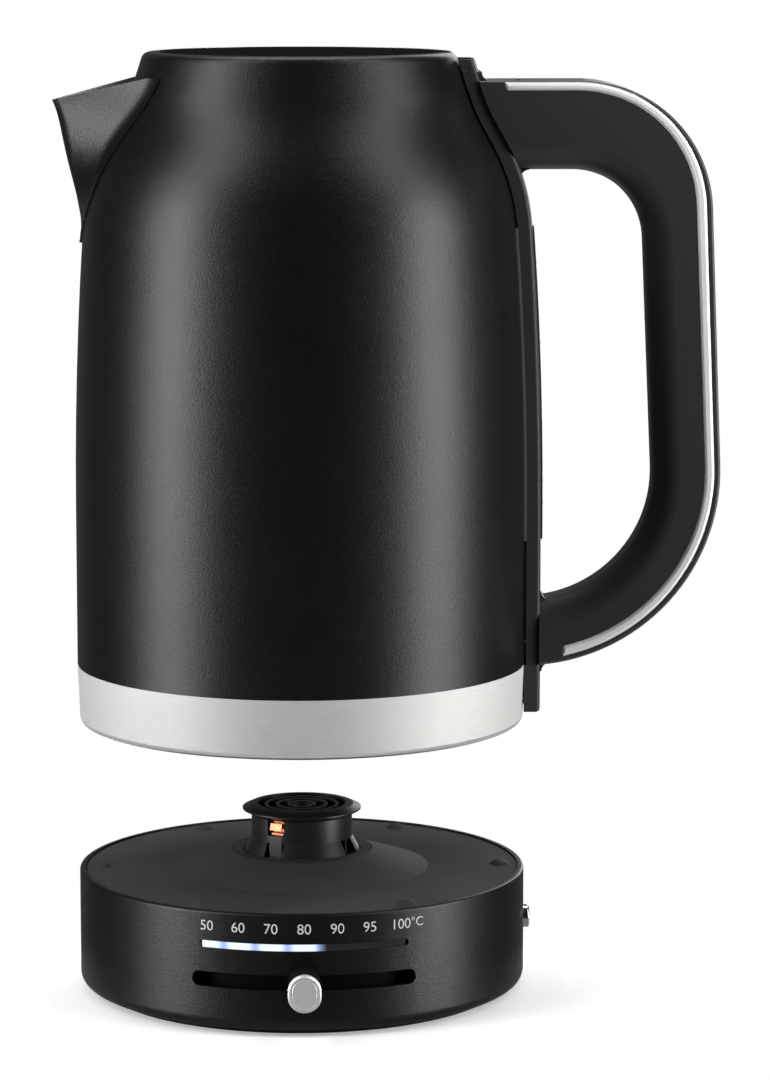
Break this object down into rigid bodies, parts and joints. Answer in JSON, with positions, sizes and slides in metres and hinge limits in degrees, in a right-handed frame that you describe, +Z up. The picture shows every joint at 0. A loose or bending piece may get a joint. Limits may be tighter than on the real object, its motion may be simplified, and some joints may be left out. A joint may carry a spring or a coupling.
{
  "type": "electric kettle with power base",
  "caption": "Cordless electric jug kettle lifted over its round power base: V spout, hinged lid, loop handle with water gauge, and a temperature slider with a lit scale.",
  "frame": {"origin": "on the power base's axis at table level, in the plane of its foot ring", "axes": "+Z up, spout towards -X, handle towards +X, temperature slider towards -Y"},
  "size_m": [0.2277, 0.1714, 0.3248],
  "materials": {
    "body_paint": "satin, fine grain",
    "base_paint": "satin, fine grain",
    "band_steel": "brushed",
    "plain_steel": "plain",
    "element_steel": "dull",
    "spreader_aluminium": "dull",
    "dark_plastic": "matte, fine grain",
    "inner_plastic": "matte",
    "trim_metal": "bright satin",
    "gauge_clear": "clear, smoked",
    "silicone": "translucent grey",
    "pad_rubber": "matte",
    "connector_black": "semi-gloss",
    "contact_copper": "bright copper",
    "light_guide": "clear, lit bluish white",
    "circuit_board": "solder mask"
  },
  "bodies": {
    "jug": {"jug_body": "body_paint", "jug_neck": "body_paint", "spout": "body_paint", "mouth_collar": "inner_plastic", "filter_frame": "inner_plastic", "filter_mesh": "plain_steel", "base_band": "band_steel", "bottom_cover": "inner_plastic", "recess_cone": "inner_plastic", "bottom_cover_screws": "plain_steel", "jug_socket": "inner_plastic", "socket_contacts": "contact_copper", "control_block": "inner_plastic", "heater_plate": "plain_steel", "heat_spreader": "spreader_aluminium", "heating_element": "element_steel", "bimetal_discs": "plain_steel", "temperature_probe": "plain_steel", "probe_seal": "silicone", "handle_strip": "dark_plastic", "hinge_cover": "dark_plastic", "gauge_window": "gauge_clear", "gauge_seal": "silicone", "handle_grip": "dark_plastic", "handle_trim": "trim_metal", "handle_back_cover": "dark_plastic", "handle_screws": "plain_steel", "hinge_pin": "plain_steel", "lid_spring": "plain_steel", "button_spring": "plain_steel"},
    "lid": {"lid_cap": "dark_plastic", "lid_liner": "inner_plastic", "lid_seal": "silicone", "lid_screws": "plain_steel"},
    "lid_button": {"lid_release_button": "dark_plastic"},
    "latch": {"latch_slide": "inner_plastic"},
    "power_base": {"base_shell": "base_paint", "base_pad": "pad_rubber", "pad_bumps": "pad_rubber", "connector_body": "connector_black", "connector_cap": "connector_black", "connector_contacts": "contact_copper", "scale_light_guide": "light_guide", "led_board": "circuit_board", "leds": "light_guide", "slider_track": "inner_plastic", "start_switch": "inner_plastic", "base_plate": "inner_plastic", "base_screws": "plain_steel", "foot_ring": "pad_rubber", "power_board": "circuit_board", "board_parts": "inner_plastic", "cord_gland": "pad_rubber"},
    "temp_slider": {"slider_knob": "dark_plastic", "slider_cap": "band_steel", "slider_carriage": "inner_plastic"},
    "start_button": {"start_button": "trim_metal"}
  },
  "joints": [
    {"name": "base_dock", "type": "slide", "parent": "jug", "child": "power_base", "axis": [0, 0, 1], "range_m": [0, 0.0507]},
    {"name": "lid_hinge", "type": "hinge", "parent": "jug", "child": "lid", "pos_m": [0.0562, 0, 0.318], "axis": [0, 1, 0], "range_deg": [0, 82]},
    {"name": "lid_release", "type": "slide", "parent": "jug", "child": "lid_button", "axis": [0, 0, -1], "range_m": [0, 0.0025], "stiffness_N_per_m": 500, "deforming": ["button_spring"]},
    {"name": "latch_draw", "type": "slide", "parent": "jug", "child": "latch", "axis": [1, 0, 0], "range_m": [0, 0.002]},
    {"name": "temperature_slide", "type": "hinge", "parent": "power_base", "child": "temp_slider", "pos_m": [0, 0, 0.019], "axis": [0, 0, 1], "range_deg": [-24, 24]},
    {"name": "start_press", "type": "slide", "parent": "power_base", "child": "start_button", "axis": [-1, 0, 0], "range_m": [0, 0.0015], "stiffness_N_per_m": 600}
  ],
  "couplings": [
    {"joint": "latch_draw", "follows": "lid_release", "ratio": 0.8}
  ]
}
